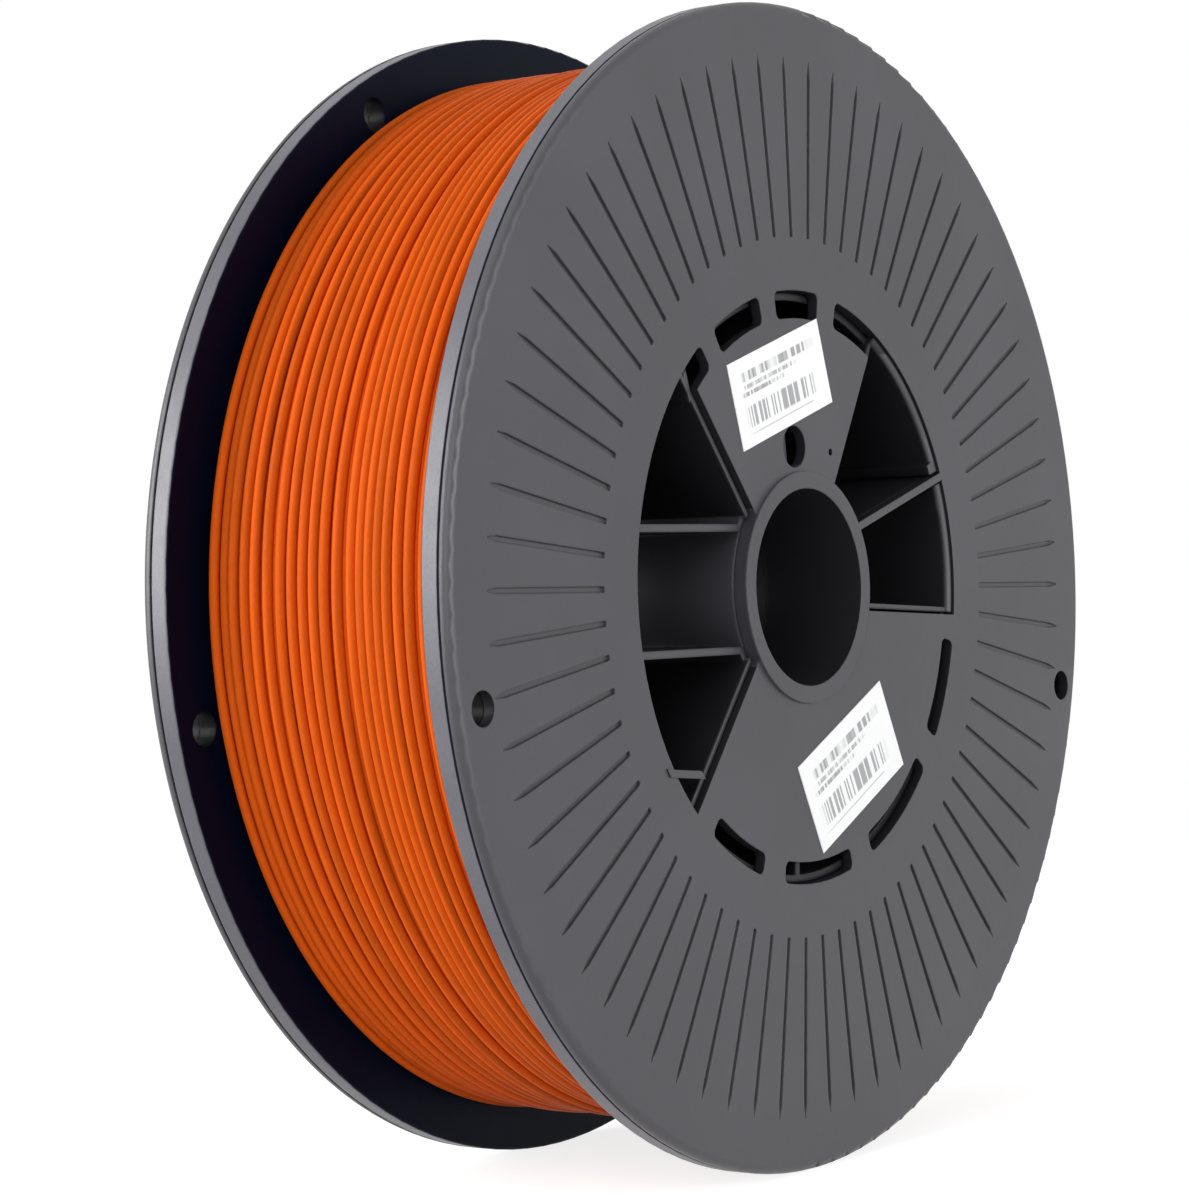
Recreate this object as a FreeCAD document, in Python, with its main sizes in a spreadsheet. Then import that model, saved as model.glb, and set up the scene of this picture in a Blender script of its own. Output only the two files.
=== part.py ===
"""Filament spool, standing on its rims, modelled as its separate pieces.

Millimetres. The spool's axis is Y and its front faces -Y, with Z up and the origin in the middle
of the bore. Angles in the plan are measured from +X towards +Z, as seen from the front.
"""

import FreeCAD
import Part
import Sketcher
import math
import os

doc = FreeCAD.newDocument("filament_spool")

# Driving dimensions
DIMENSIONS = {
    # Overall
    "spool_width": 62.0,
    "flange_diameter": 200.0,
    "bore_radius": 17.0,
    # Cover, the plate with the face
    "cover_thickness": 1.9,
    "cover_edge_radius": 1.5,
    "ring_wall": 3.0,
    "ring_height": 0.6,
    "spigot_wall": 1.5,
    "spigot_depth": 19.0,
    "spoke_width": 1.4,
    "spoke_angle": 17.3,
    "spoke_offset": 4.6,
    "strut_width": 1.3,
    "strut_height": 0.3,
    "strut_reach": 1.8,
    "strut_length": 5.6,
    "strut_angle": 175.2,
    "strut_offset": 33.0,
    # Edges of the two closed sectors
    "upper_left_angle": 129.3,
    "upper_left_offset": 4.1,
    "upper_right_angle": 60.9,
    "lower_left_angle": 231.25,
    "lower_left_offset": 4.65,
    "lower_right_angle": -2.6,
    "lower_right_offset": 3.6,
    # Windows in the upper sector and slots in the lower one
    "window_height": 4.8,
    "slot_height": 3.8,
    "window_corner_radius": 1.2,
    # Flange disc behind the cover
    "disc_thickness": 3.5,
    "seam_width": 0.45,
    "disc_edge_radius": 0.4,
    # Hub core
    "drum_radius": 50.7,
    "drum_wall": 1.3,
    "lip_depth": 0.4,
    "lip_edge_radius": 0.9,
    "lip_end_gap": 0.5,
    "tube_wall": 1.4,
    "rib_wall": 1.3,
    "rib_reveal": 0.5,
    "side_rib_wall": 0.9,
    "side_rib_depth": 1.1,
    "side_rib_gap": 0.5,
    "web_offset": 10.3,
    "corner_fill": 1.5,
    "tube_step": 0.25,
    "upper_rib_angle": 97.3,
    "first_lower_rib_angle": 267.4,
    "second_lower_rib_angle": 309.5,
    "brace_length": 4.2,
    "brace_angle": 109.2,
    "brace_offset": 20.16,
    "foot_height": 1.4,
    "foot_angle": 26.5,
    # Holes
    "filament_hole_radius": 2.8,
    "filament_hole_inset": 6.0,
    "sector_hole_radius": 3.6,
    "sector_hole_place_radius": 24.28,
    "sector_hole_place_angle": 96.94,
    "pip_radius": 0.6,
    "pip_place_radius": 24.96,
    "pip_place_angle": 69.27,
    # Filament
    "winding_margin": 9.0,
    "wire_diameter": 1.75,
    "strand_sides": 6,
    "turn_count": 20,
    "first_turn_angle": -40.0,
    # Labels
    "label_thickness": 0.15,
    "label_upper_length": 30.0,
    "label_upper_height": 15.0,
    "label_upper_place_radius": 35.37,
    "label_upper_place_angle": 101.17,
    "label_upper_turn_angle": 17.7,
    "label_lower_length": 31.0,
    "label_lower_height": 17.0,
    "label_lower_place_radius": 34.15,
    "label_lower_place_angle": -67.4,
    "label_lower_turn_angle": 26.4,
    # Clearances
    "fit_clearance": 0.15,
    "drum_clearance": 0.3,
    "seat_gap": 0.1,
    "winding_gap": 0.3,
}

# Windows of the upper sector and slots of the lower one, as start and end angles. The first and
# the last window run into the open sectors beside them.
WINDOWS = ((58.5, 76.7), (83.3, 99.2), (104.9, 122.2), (127.6, 135.8))
SLOTS = ((232.3, 251.3), (259.2, 284.5), (292.3, 318.9), (326.5, 347.8))

# Filament holes, as angles in the plan
FRONT_HOLES = (-169.7, -12.6)
BACK_HOLES = (-167.7, 118.3)

sheet = doc.addObject("Spreadsheet::Sheet", "Sizes")
for row, (alias, number) in enumerate(DIMENSIONS.items(), start=1):
    sheet.set("A%d" % row, alias)
    sheet.set("B%d" % row, str(number))
    sheet.setAlias("B%d" % row, alias)
doc.recompute()


class Size:
    """A length or angle known both as a number and as a formula on the sheet."""

    def __init__(self, number, formula):
        self.number = number
        self.formula = formula

    def __add__(self, other):
        other = as_size(other)
        return Size(self.number + other.number, "(%s + %s)" % (self.formula, other.formula))

    def __sub__(self, other):
        other = as_size(other)
        return Size(self.number - other.number, "(%s - %s)" % (self.formula, other.formula))

    def __mul__(self, other):
        other = as_size(other)
        return Size(self.number * other.number, "(%s * %s)" % (self.formula, other.formula))

    def __truediv__(self, other):
        other = as_size(other)
        return Size(self.number / other.number, "(%s / %s)" % (self.formula, other.formula))

    def __neg__(self):
        return Size(-self.number, "(-1 * %s)" % self.formula)


def as_size(value):
    """A plain number as a Size; a Size as it is."""
    return value if isinstance(value, Size) else Size(float(value), repr(float(value)))


def size(alias):
    """The named driving dimension."""
    return Size(sheet.get(alias), "Sizes." + alias)


def bind(thing, path, value):
    """Tie a property or a sketch's constraint to a size."""
    thing.setExpression(path, as_size(value).formula)


# Sizes that follow from the driving ones
half_width = size("spool_width") / 2
flange_radius = size("flange_diameter") / 2
ring_radius = size("bore_radius") + size("ring_wall")
opening_radius = size("drum_radius") + size("drum_clearance")
window_radius = opening_radius - size("window_height")
slot_radius = opening_radius - size("slot_height")
spigot_radius = size("bore_radius") + size("spigot_wall")
seat_radius = spigot_radius + size("fit_clearance")
tube_radius = seat_radius + size("tube_wall")
drum_bore = size("drum_radius") - size("drum_wall")
core_half_length = half_width - size("cover_thickness") - size("seat_gap")
inner_half_width = half_width - size("cover_thickness") - size("disc_thickness")
winding_half_width = inner_half_width - size("winding_gap")
wire_radius = size("wire_diameter") / 2
lay_radius = flange_radius - size("winding_margin") - wire_radius
winding_core_radius = lay_radius - wire_radius - size("winding_gap")
half_rib = size("rib_wall") / 2
leftwards = 180.0


def new_body(name):
    return doc.addObject("PartDesign::Body", name)


def plane_of(body, role):
    """The body's own origin plane of that role."""
    for feature in body.Origin.OriginFeatures:
        if feature.Role == role:
            return feature
    raise ValueError(role)


def new_sketch(body, name, role="XZ_Plane", lift=0.0):
    """A sketch on an origin plane; lift moves it along the plane's normal, -Y for the plan."""
    sketch = body.newObject("Sketcher::SketchObject", name)
    sketch.AttachmentSupport = [(plane_of(body, role), "")]
    sketch.MapMode = "FlatFace"
    bind(sketch, "AttachmentOffset.Base.z", lift)
    return sketch


def constrain(sketch, kind, *targets, value=None):
    """Add a constraint, tied to a size if it has one."""
    if value is None:
        sketch.addConstraint(Sketcher.Constraint(kind, *targets))
        return
    value = as_size(value)
    number = math.radians(value.number) if kind == "Angle" else value.number
    index = sketch.addConstraint(Sketcher.Constraint(kind, *targets, number))
    bind(sketch, "Constraints[%d]" % index, value)


def add_circle(sketch, radius, x=0.0, z=0.0):
    """A circle in the sketch."""
    radius, x, z = as_size(radius), as_size(x), as_size(z)
    centre = FreeCAD.Vector(x.number, z.number, 0)
    circle = sketch.addGeometry(Part.Circle(centre, FreeCAD.Vector(0, 0, 1), radius.number))
    constrain(sketch, "Radius", circle, value=radius)
    if x.formula == z.formula == as_size(0.0).formula:
        constrain(sketch, "Coincident", circle, 3, -1, 1)
    else:
        constrain(sketch, "DistanceX", -1, 1, circle, 3, value=x)
        constrain(sketch, "DistanceY", -1, 1, circle, 3, value=z)


def polar(radius, angle):
    """A point of the plan, from its distance to the centre and its angle."""
    turn = math.radians(as_size(angle).number)
    return as_size(radius) * math.cos(turn), as_size(radius) * math.sin(turn)


def side_point(radius, side):
    """Where a side meets a circle: its angle, and its offset to the left of the centre."""
    angle, offset = math.radians(as_size(side[0]).number), as_size(side[1]).number
    along = math.sqrt(radius ** 2 - offset ** 2)
    return (along * math.cos(angle) - offset * math.sin(angle),
            along * math.sin(angle) + offset * math.cos(angle))


def add_side(sketch, inner, outer, side):
    """A straight side of a ring segment, from the inner circle to the outer."""
    start = FreeCAD.Vector(*side_point(inner.number, side), 0)
    end = FreeCAD.Vector(*side_point(outer.number, side), 0)
    line = sketch.addGeometry(Part.LineSegment(start, end))
    angle, offset = as_size(side[0]), as_size(side[1])
    constrain(sketch, "Angle", line, value=angle)
    if offset.number == 0.0:
        constrain(sketch, "PointOnObject", -1, 1, line)
    else:
        constrain(sketch, "Distance", -1, 1, line, value=offset if offset.number > 0 else -offset)
    return line


def add_arc(sketch, radius, first, last):
    """An arc about the centre, from one side to the next."""
    start = side_point(radius.number, first)
    end = side_point(radius.number, last)
    turn = math.atan2(start[1], start[0])
    sweep = (math.atan2(end[1], end[0]) - turn) % (2 * math.pi)
    circle = Part.Circle(FreeCAD.Vector(0, 0, 0), FreeCAD.Vector(0, 0, 1), radius.number)
    arc = sketch.addGeometry(Part.ArcOfCircle(circle, turn, turn + sweep))
    constrain(sketch, "Coincident", arc, 3, -1, 1)
    constrain(sketch, "Radius", arc, value=radius)
    return arc


def add_segment(sketch, inner, outer, first, last):
    """A ring segment between two radii and two straight sides, counter-clockwise."""
    inner, outer = as_size(inner), as_size(outer)
    outer_arc = add_arc(sketch, outer, first, last)
    inner_arc = add_arc(sketch, inner, first, last)
    first_line = add_side(sketch, inner, outer, first)
    last_line = add_side(sketch, inner, outer, last)
    constrain(sketch, "Coincident", first_line, 1, inner_arc, 1)
    constrain(sketch, "Coincident", first_line, 2, outer_arc, 1)
    constrain(sketch, "Coincident", last_line, 1, inner_arc, 2)
    constrain(sketch, "Coincident", last_line, 2, outer_arc, 2)


def add_profile(sketch, corners):
    """A closed outline through the corners; each is a pair of sizes."""
    numbers = [(as_size(x).number, as_size(y).number) for x, y in corners]
    count = len(corners)
    for index in range(count):
        start = FreeCAD.Vector(*numbers[index], 0)
        end = FreeCAD.Vector(*numbers[(index + 1) % count], 0)
        sketch.addGeometry(Part.LineSegment(start, end))
    for index, (x, y) in enumerate(corners):
        constrain(sketch, "Coincident", index, 2, (index + 1) % count, 1)
        constrain(sketch, "DistanceX", -1, 1, index, 1, value=x)
        constrain(sketch, "DistanceY", -1, 1, index, 1, value=y)


def volume_of(body):
    doc.recompute()
    return body.Shape.Volume


def pad(body, sketch, name, length, both_ways=False, downwards=False):
    """Pad a sketch towards -Y, or towards +Y where downwards, and see that it adds."""
    before = volume_of(body) if body.Tip and not body.Shape.isNull() else 0.0
    feature = body.newObject("PartDesign::Pad", name)
    feature.Profile = sketch
    feature.SideType = "Symmetric" if both_ways else "One side"
    feature.Reversed = downwards
    bind(feature, "Length", length)
    if volume_of(body) <= before:
        raise RuntimeError("%s adds nothing" % name)
    return feature


def pocket(body, sketch, name, depth=None, both_ways=False, upwards=False):
    """Pocket a sketch towards +Y, or -Y where upwards, and see that it cuts."""
    before = volume_of(body)
    feature = body.newObject("PartDesign::Pocket", name)
    feature.Profile = sketch
    feature.SideType = "Symmetric" if both_ways else "One side"
    feature.Reversed = upwards
    if depth is None:
        feature.Type = "ThroughAll"
    else:
        bind(feature, "Length", depth)
    if volume_of(body) >= before:
        raise RuntimeError("%s cuts nothing" % name)
    return feature


def fillet(body, name, edges, radius):
    """Round the edges of the body's tip that the test picks."""
    doc.recompute()
    base = body.Tip
    chosen = ["Edge%d" % number for number, edge in enumerate(base.Shape.Edges, start=1) if edges(edge)]
    feature = body.newObject("PartDesign::Fillet", name)
    feature.Base = (base, chosen)
    bind(feature, "Radius", radius)
    doc.recompute()
    return feature


def is_circle(edge, radius, level):
    """Whether an edge is an arc of that radius about the axis, on the plane y = level."""
    curve = edge.Curve
    if not isinstance(curve, Part.Circle):
        return False
    return abs(curve.Radius - radius) < 0.01 and abs(curve.Center.y - level) < 0.01


def is_corner(edge, radii, angles):
    """Whether an edge runs along the axis at one of the radii and one of the angles."""
    if not isinstance(edge.Curve, Part.Line) or abs(edge.Curve.Direction.y) < 0.99:
        return False
    place = edge.CenterOfMass
    radius = math.hypot(place.x, place.z)
    angle = math.degrees(math.atan2(place.z, place.x))
    return (any(abs(radius - wanted.number) < 0.05 for wanted in radii)
            and any(abs((angle - wanted + 180.0) % 360.0 - 180.0) < 0.1 for wanted in angles))


# Edges of the closed sectors, and walls, as a side's angle and offset
upper_left = (size("upper_left_angle"), size("upper_left_offset"))
upper_right = (size("upper_right_angle"), 0.0)
lower_left = (size("lower_left_angle"), -size("lower_left_offset"))
lower_right = (size("lower_right_angle"), -size("lower_right_offset"))


def shifted(side, distance):
    """The side moved to its left."""
    return (side[0], as_size(side[1]) + distance)


def radial(alias):
    return (size(alias), as_size(0.0))


def make_cover_blank():
    """The front cover without its filament holes: face plate, ring and spigot."""
    body = new_body("cover_blank")
    face = -half_width
    back = face + size("cover_thickness")
    profile = new_sketch(body, "cover_profile", "XY_Plane")
    add_profile(profile, [
        (size("bore_radius"), face - size("ring_height")),
        (ring_radius, face - size("ring_height")),
        (ring_radius, face),
        (flange_radius, face),
        (flange_radius, back),
        (spigot_radius, back),
        (spigot_radius, face + size("spigot_depth")),
        (size("bore_radius"), face + size("spigot_depth")),
    ])
    turned = body.newObject("PartDesign::Revolution", "cover_turned")
    turned.Profile = profile
    turned.ReferenceAxis = (profile, ["V_Axis"])
    turned.Angle = 360.0
    fillet(body, "cover_edge", lambda edge: is_circle(edge, flange_radius.number, face.number),
           size("cover_edge_radius"))

    openings = new_sketch(body, "cover_openings", lift=half_width)
    add_segment(openings, ring_radius, opening_radius, upper_left, lower_left)
    add_segment(openings, ring_radius, opening_radius, lower_right, upper_right)
    pocket(body, openings, "open_sectors", size("cover_thickness"))

    windows = new_sketch(body, "cover_windows", lift=half_width)
    for start, end in WINDOWS:
        add_segment(windows, window_radius, opening_radius, (start, 0.0), (end, 0.0))
    for start, end in SLOTS:
        add_segment(windows, slot_radius, opening_radius, (start, 0.0), (end, 0.0))
    pocket(body, windows, "windows_and_slots", size("cover_thickness"))
    ends = [angle for hole in WINDOWS + SLOTS for angle in hole]
    fillet(body, "window_corners",
           lambda edge: is_corner(edge, (window_radius, slot_radius, opening_radius), ends),
           size("window_corner_radius"))

    holes = new_sketch(body, "cover_holes", lift=half_width)
    for hole in ("sector_hole", "pip"):
        add_circle(holes, size(hole + "_radius"),
                   *polar(size(hole + "_place_radius"), size(hole + "_place_angle")))
    pocket(body, holes, "sector_holes", size("cover_thickness"))

    spoke_side = (size("spoke_angle"), size("spoke_offset"))
    spoke = new_sketch(body, "spoke_plan", lift=half_width)
    add_segment(spoke, size("bore_radius") + size("ring_wall") / 2, opening_radius + size("strut_reach"),
                shifted(spoke_side, -size("spoke_width") / 2), shifted(spoke_side, size("spoke_width") / 2))
    pad(body, spoke, "spoke", size("cover_thickness"), downwards=True)

    strut_side = (size("strut_angle"), size("strut_offset"))
    strut = new_sketch(body, "strut_plan", lift=half_width + size("strut_height"))
    add_segment(strut, opening_radius - size("strut_length"), opening_radius + size("strut_reach"),
                shifted(strut_side, -size("strut_width") / 2), shifted(strut_side, size("strut_width") / 2))
    pad(body, strut, "strut", size("cover_thickness") + size("strut_height"), downwards=True)
    return body


def make_disc_blank():
    """The front flange disc without its filament holes."""
    body = new_body("disc_blank")
    front = -half_width + size("cover_thickness")
    back = front + size("disc_thickness")
    inner = size("drum_radius") + size("fit_clearance")
    profile = new_sketch(body, "disc_profile", "XY_Plane")
    add_profile(profile, [
        (inner, front),
        (flange_radius - size("seam_width"), front),
        (flange_radius, front + size("seam_width")),
        (flange_radius, back),
        (inner, back),
    ])
    turned = body.newObject("PartDesign::Revolution", "disc_turned")
    turned.Profile = profile
    turned.ReferenceAxis = (profile, ["V_Axis"])
    turned.Angle = 360.0
    fillet(body, "disc_edge", lambda edge: is_circle(edge, flange_radius.number, back.number),
           size("disc_edge_radius"))
    return body


def hole_tools(name, angles):
    """Cylinders along Y at the filament holes, right through the spool."""
    cylinders = []
    for number, angle in enumerate(angles, start=1):
        cylinder = doc.addObject("Part::Cylinder", "%s_%d" % (name, number))
        bind(cylinder, "Radius", size("filament_hole_radius"))
        bind(cylinder, "Height", size("spool_width"))
        across, up = polar(flange_radius - size("filament_hole_inset"), angle)
        cylinder.Placement.Rotation = FreeCAD.Rotation(FreeCAD.Vector(1, 0, 0), 90)
        bind(cylinder, "Placement.Base.x", across)
        bind(cylinder, "Placement.Base.y", half_width)
        bind(cylinder, "Placement.Base.z", up)
        cylinders.append(cylinder)
    group = doc.addObject("Part::Compound", name)
    group.Links = cylinders
    return group


def mirrored(source, name):
    """The source turned into its mirror image across the middle plane."""
    mirror = doc.addObject("Part::Mirroring", name)
    mirror.Source = source
    mirror.Base = FreeCAD.Vector(0, 0, 0)
    mirror.Normal = FreeCAD.Vector(0, 1, 0)
    return mirror


def drilled(node, blank, tools):
    """A node: the blank with the filament holes cut through it."""
    cut = doc.addObject("Part::Cut", node)
    cut.Base = blank
    cut.Tool = tools
    return cut


def chamber_inner(first, last):
    """A chamber's inner radius: the tube's, or a little past where its two walls run together."""
    turn = math.radians(as_size(last[0]).number - as_size(first[0]).number)
    near, far = as_size(first[1]).number, as_size(last[1]).number
    if abs(math.sin(turn)) < 0.01:
        return tube_radius
    meeting = math.sqrt(near ** 2 + far ** 2 - 2 * near * far * math.cos(turn)) / abs(math.sin(turn))
    filled = meeting + size("corner_fill").number
    return as_size(filled) if filled > tube_radius.number else tube_radius


def make_hub_core():
    """Drum wall and bore tube, with the webs and ribs that join them."""
    body = new_body("hub_core")
    plan = new_sketch(body, "core_plan")
    add_circle(plan, size("drum_radius"))
    add_circle(plan, size("bore_radius") + size("tube_step"))
    pad(body, plan, "core_blank", core_half_length * 2, both_ways=True)

    reveal = size("rib_reveal")
    depth = size("rib_reveal") + size("side_rib_wall")
    upper_web = (leftwards, -size("web_offset"))
    lower_web = (leftwards, size("web_offset"))
    spoke_rib = (size("spoke_angle"), size("spoke_offset"))
    upper_rib = radial("upper_rib_angle")
    first_lower_rib = radial("first_lower_rib_angle")
    second_lower_rib = radial("second_lower_rib_angle")
    chambers = (
        (shifted(lower_right, depth), shifted(spoke_rib, -half_rib)),
        (shifted(spoke_rib, half_rib), shifted(upper_right, -depth)),
        (shifted(upper_right, -reveal), shifted(upper_rib, -half_rib)),
        (shifted(upper_rib, half_rib), shifted(upper_left, reveal)),
        (shifted(upper_left, depth), shifted(upper_web, -half_rib)),
        (shifted(upper_web, half_rib), shifted(lower_web, -half_rib)),
        (shifted(lower_web, half_rib), shifted(lower_left, -depth)),
        (shifted(lower_left, -reveal), shifted(first_lower_rib, -half_rib)),
        (shifted(first_lower_rib, half_rib), shifted(second_lower_rib, -half_rib)),
        (shifted(second_lower_rib, half_rib), shifted(lower_right, reveal)),
    )
    chamber_plan = new_sketch(body, "chamber_plan")
    for first, last in chambers:
        add_segment(chamber_plan, chamber_inner(first, last), drum_bore, first, last)
    pocket(body, chamber_plan, "chambers", core_half_length * 4, both_ways=True)

    lip_half_length = half_width - size("lip_depth")
    beside_spoke = size("spoke_width") / 2 + size("lip_end_gap")
    lips = new_sketch(body, "lip_plan")
    for first, last in (
        (shifted(lower_right, size("lip_end_gap")), shifted(spoke_rib, -beside_spoke)),
        (shifted(spoke_rib, beside_spoke), shifted(upper_right, -size("lip_end_gap"))),
    ):
        add_segment(lips, drum_bore, size("drum_radius"), first, last)
    pad(body, lips, "lips", lip_half_length * 2, both_ways=True)
    fillet(body, "lip_edges",
           lambda edge: any(is_circle(edge, drum_bore.number, level * lip_half_length.number)
                            for level in (-1, 1)),
           size("lip_edge_radius"))

    foot = new_sketch(body, "foot_plan")
    add_segment(foot, drum_bore - size("foot_height"), drum_bore + size("drum_wall") / 2,
                shifted(spoke_rib, beside_spoke), radial("foot_angle"))
    pad(body, foot, "foot", lip_half_length * 2, both_ways=True)

    brace = (size("brace_angle"), size("brace_offset"))
    raised = new_sketch(body, "raised_rib_plan")
    for first, last in (
        (shifted(upper_left, reveal), shifted(upper_left, depth)),
        (shifted(lower_left, -depth), shifted(lower_left, -reveal)),
        (shifted(lower_right, reveal), shifted(lower_right, depth)),
        (shifted(upper_right, -depth), shifted(upper_right, -reveal)),
    ):
        add_segment(raised, ring_radius + size("side_rib_gap"), size("drum_radius"), first, last)
    side_rib_length = (half_width - size("side_rib_depth")) * 2
    pad(body, raised, "raised_ribs", side_rib_length, both_ways=True)
    brace_plan = new_sketch(body, "brace_plan")
    add_segment(brace_plan, drum_bore - size("brace_length"), size("drum_radius"),
                brace, shifted(brace, size("side_rib_wall")))
    pad(body, brace_plan, "brace", side_rib_length, both_ways=True)

    seat_depth = size("spigot_depth") - size("cover_thickness")
    for name, lift, upwards in (("front_seat", core_half_length, False),
                                ("back_seat", -core_half_length, True)):
        seat = new_sketch(body, name + "_plan", lift=lift)
        add_circle(seat, seat_radius)
        pocket(body, seat, name, seat_depth, upwards=upwards)
    return body


def make_winding_core():
    """The wound body under the outer layer of turns, as a plain ring on the drum."""
    body = new_body("winding_core")
    plan = new_sketch(body, "winding_plan")
    add_circle(plan, winding_core_radius)
    add_circle(plan, size("drum_radius") + size("winding_gap"))
    pad(body, plan, "winding_ring", winding_half_width * 2, both_ways=True)
    return body


def arc_between(start, end, corner):
    """The arc from start to end whose tangents meet at the corner."""
    middle = (start + end) / 2
    half_chord = (end - start).Length / 2
    rise = corner - middle
    half_angle = math.atan2(rise.Length, half_chord)
    top = middle + rise.normalize() * (half_chord * math.tan(half_angle / 2))
    return Part.Arc(start, top, end).toShape()


def biarc(start, start_way, end, end_way):
    """Two arcs that join two points and their directions without a kink."""
    step = end - start
    ways = start_way + end_way
    bend = 2 * (1 - start_way.dot(end_way))
    reach = (math.sqrt(step.dot(ways) ** 2 + bend * step.dot(step)) - step.dot(ways)) / bend
    first_corner = start + start_way * reach
    last_corner = end - end_way * reach
    joint = (first_corner + last_corner) / 2
    return [arc_between(start, joint, first_corner), arc_between(joint, end, last_corner)]


def make_outer_turns():
    """The outer layer of filament: one unbroken strand wound from flange to flange."""
    radius = lay_radius.number
    turns = int(size("turn_count").number)
    half_lay = winding_half_width.number - wire_radius.number
    pitch = 2 * half_lay / turns
    start_angle = math.radians(size("first_turn_angle").number)

    def place(turn):
        angle = start_angle + 2 * math.pi * turn
        return FreeCAD.Vector(radius * math.cos(angle), pitch * turn - half_lay, radius * math.sin(angle))

    def way(turn):
        angle = start_angle + 2 * math.pi * turn
        tangent = FreeCAD.Vector(-2 * math.pi * radius * math.sin(angle), pitch,
                                 2 * math.pi * radius * math.cos(angle))
        return tangent.normalize()

    straight = size("wire_diameter").number
    first, last = place(0), place(turns)
    edges = [Part.LineSegment(first - way(0) * straight, first).toShape()]
    for half in range(2 * turns):
        turn = half / 2
        edges += biarc(place(turn), way(turn), place(turn + 0.5), way(turn + 0.5))
    edges.append(Part.LineSegment(last, last + way(turns) * straight).toShape())
    path = Part.Wire(edges)
    sides = int(size("strand_sides").number)
    outward = FreeCAD.Vector(first.x, 0, first.z).normalize()
    beside = way(0).cross(outward)
    corners = []
    for corner in range(sides + 1):
        angle = 2 * math.pi * corner / sides
        spread = (outward * math.cos(angle) + beside * math.sin(angle)) * wire_radius.number
        corners.append(first - way(0) * straight + spread)
    shell = Part.BRepOffsetAPI.MakePipeShell(path)
    shell.add(Part.makePolygon(corners))
    shell.build()
    shell.makeSolid()
    strand = doc.addObject("Part::Feature", "filament_outer_turns")
    strand.Shape = shell.shape()

    points = [place(index / 90) for index in range(90 * turns + 1)]
    gap = min((points[index] - points[index + 90 + shift]).Length
              for index in range(len(points) - 91) for shift in (-1, 0, 1)
              if index + 90 + shift < len(points)) - straight
    section = sides / 2 * math.sin(2 * math.pi / sides) * wire_radius.number ** 2
    print("outer turns: least gap %.3f mm, volume %.0f of %.0f mm3"
          % (gap, strand.Shape.Volume, path.Length * section))
    return strand


def make_label(node):
    """A paper label on the front face."""
    label = doc.addObject("Part::Box", node)
    length, height = size(node + "_length"), size(node + "_height")
    turn = size(node + "_turn_angle")
    across, up = polar(size(node + "_place_radius"), size(node + "_place_angle"))
    bind(label, "Length", length)
    bind(label, "Height", height)
    bind(label, "Width", size("label_thickness"))
    # The box turns about its own middle, so its corner is placed from the label's centre.
    cosine, sine = math.cos(math.radians(turn.number)), math.sin(math.radians(turn.number))
    label.Placement.Rotation = FreeCAD.Rotation(FreeCAD.Vector(0, -1, 0), turn.number)
    bind(label, "Placement.Base.x", across - length / 2 * cosine + height / 2 * sine)
    bind(label, "Placement.Base.y", -half_width - size("label_thickness"))
    bind(label, "Placement.Base.z", up - length / 2 * sine - height / 2 * cosine)
    return label


cover_blank = make_cover_blank()
disc_blank = make_disc_blank()
front_tools = hole_tools("front_hole_tools", FRONT_HOLES)
back_tools = hole_tools("back_hole_tools", BACK_HOLES)
nodes = [
    drilled("front_cover", cover_blank, front_tools),
    drilled("front_flange", disc_blank, front_tools),
    make_hub_core(),
    drilled("back_flange", mirrored(disc_blank, "disc_mirrored"), back_tools),
    drilled("back_cover", mirrored(cover_blank, "cover_mirrored"), back_tools),
    make_winding_core(),
    make_outer_turns(),
    make_label("label_upper"),
    make_label("label_lower"),
]
doc.recompute()

for thing in doc.Objects:
    if "Invalid" in thing.State or "Error" in thing.State:
        raise RuntimeError("%s failed: %s" % (thing.Name, thing.State))

os.makedirs("parts", exist_ok=True)
for node in nodes:
    node.Label = node.Name
    if node.Shape.isNull() or not node.Shape.isValid():
        raise RuntimeError("%s has no valid shape" % node.Label)
    node.Shape.exportStep("parts/%s.step" % node.Label)
    print("%s: %d solid, %.0f mm3" % (node.Label, len(node.Shape.Solids), node.Shape.Volume))
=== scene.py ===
"""A wound filament spool, standing on its rims in a plain pale studio.

Metres. The spool's axis is Y, its front faces -Y and Z is up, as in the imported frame.
"""

import logging
import math
from collections.abc import Callable, Mapping, Sequence
from dataclasses import dataclass, field
from enum import Enum
from typing import Any

import bmesh
import bpy
import numpy as np
from mathutils import Matrix, Vector


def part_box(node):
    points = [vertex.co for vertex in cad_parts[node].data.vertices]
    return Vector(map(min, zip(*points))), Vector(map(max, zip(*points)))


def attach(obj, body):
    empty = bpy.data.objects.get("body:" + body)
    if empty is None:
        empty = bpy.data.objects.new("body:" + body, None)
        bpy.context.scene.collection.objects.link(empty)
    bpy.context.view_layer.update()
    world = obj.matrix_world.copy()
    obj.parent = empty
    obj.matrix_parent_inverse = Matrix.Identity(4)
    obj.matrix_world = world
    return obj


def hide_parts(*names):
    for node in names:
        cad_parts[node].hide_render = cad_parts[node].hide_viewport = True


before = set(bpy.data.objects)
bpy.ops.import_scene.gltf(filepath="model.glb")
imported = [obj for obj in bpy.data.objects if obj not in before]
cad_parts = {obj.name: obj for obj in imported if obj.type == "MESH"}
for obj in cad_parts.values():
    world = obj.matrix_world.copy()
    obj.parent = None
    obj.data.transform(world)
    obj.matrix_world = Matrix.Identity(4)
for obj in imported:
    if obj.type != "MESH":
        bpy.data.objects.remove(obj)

LOG = logging.getLogger("filament_spool")
MM = 0.001
ROOT = "root"
WHITE = (1.0, 1.0, 1.0, 1.0)
Colour = tuple[float, float, float]


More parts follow.
